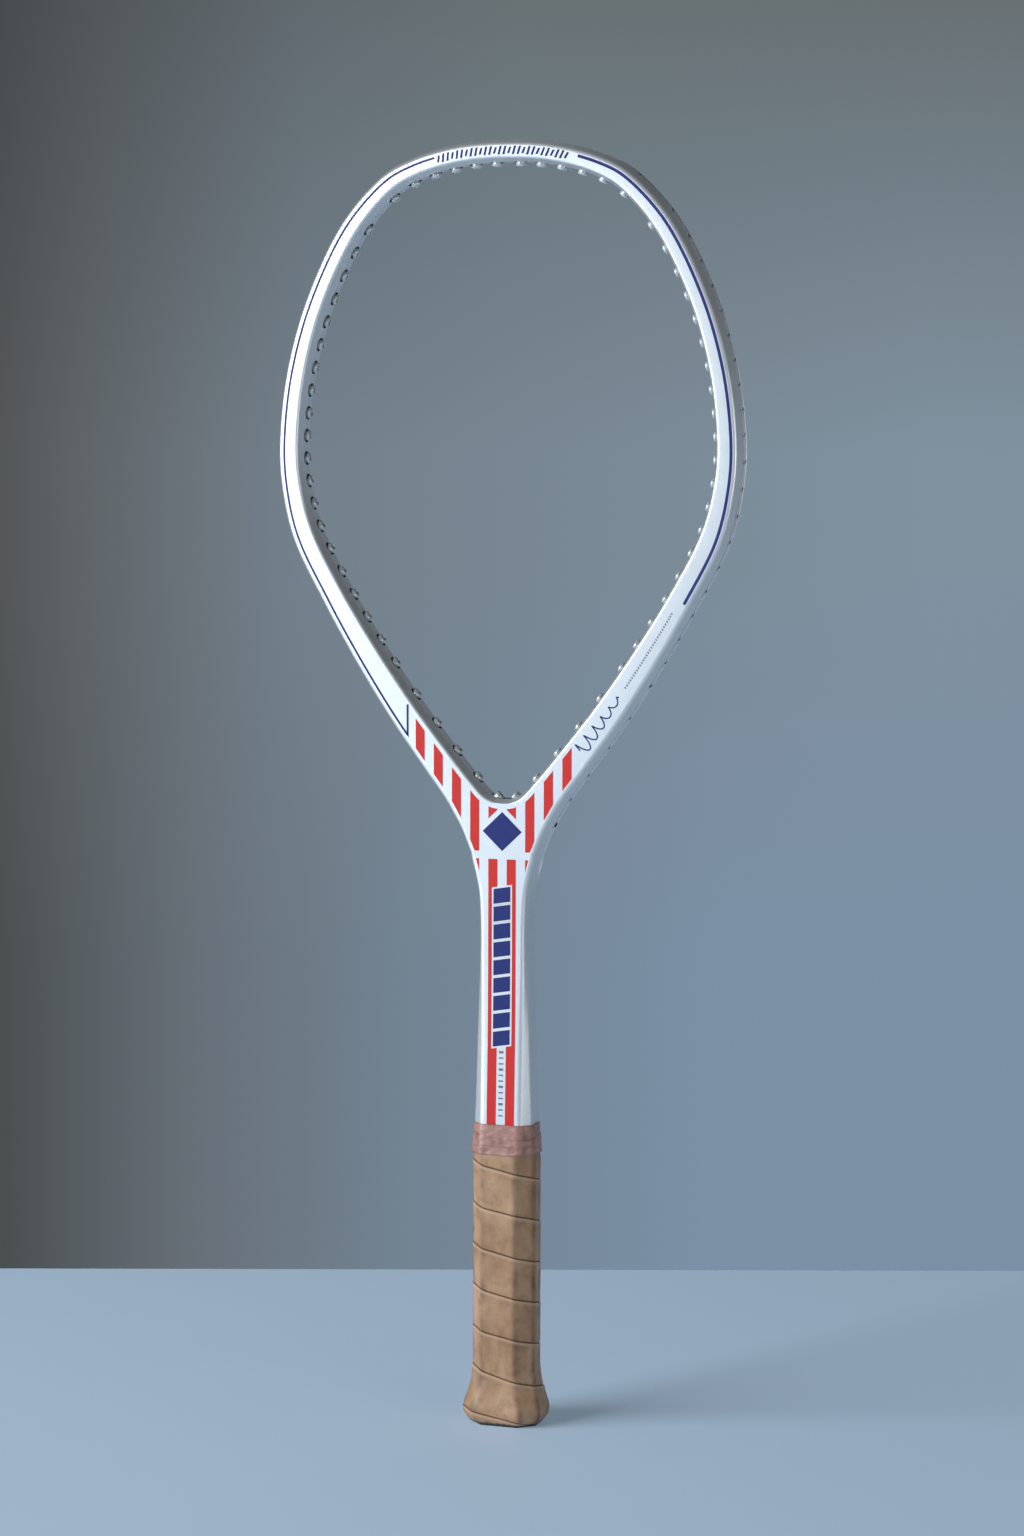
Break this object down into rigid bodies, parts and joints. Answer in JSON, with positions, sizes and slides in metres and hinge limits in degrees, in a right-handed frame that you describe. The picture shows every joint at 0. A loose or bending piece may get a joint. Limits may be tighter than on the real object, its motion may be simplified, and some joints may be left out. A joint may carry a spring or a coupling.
{
  "type": "tennis racket",
  "caption": "Unstrung mono-shaft tennis racket with a teardrop head, grommet strips, rubber collar, leather-wrapped handle and flared butt it stands on.",
  "frame": {"origin": "centre of the flat butt face that the racket stands on", "axes": "+Z from the butt up to the tip of the head, +X to the right across the string plane seen from the front face, front face towards -Y"},
  "size_m": [0.259, 0.035, 0.6857],
  "materials": {
    "frame_paint": "silver white fine metallic lacquer with red and navy decals",
    "core_foam": "rigid polyurethane foam",
    "grommet_nylon": "smoke grey nylon",
    "pallet_foam": "rigid moulded foam",
    "tape_adhesive": "double-sided tape",
    "grip_leather": "worn smooth tan leather, satin",
    "tape_finish": "woven finishing tape",
    "collar_rubber": "aged dusty pink rubber, creased",
    "cap_plastic": "black moulded plastic",
    "steel_wire": "bright steel"
  },
  "bodies": {
    "root": {"frame_shell": "frame_paint", "foam_core": "core_foam", "grommet_strip_top": "grommet_nylon", "grommet_strip_left": "grommet_nylon", "grommet_strip_right": "grommet_nylon", "throat_strip_left": "grommet_nylon", "throat_strip_right": "grommet_nylon", "pallet_front": "pallet_foam", "pallet_back": "pallet_foam", "adhesive_strips": "tape_adhesive", "leather_grip": "grip_leather", "finishing_tape": "tape_finish", "grip_collar": "collar_rubber", "butt_cap": "cap_plastic", "butt_door": "cap_plastic", "butt_staples": "steel_wire", "grip_tack": "steel_wire"}
  },
  "joints": []
}
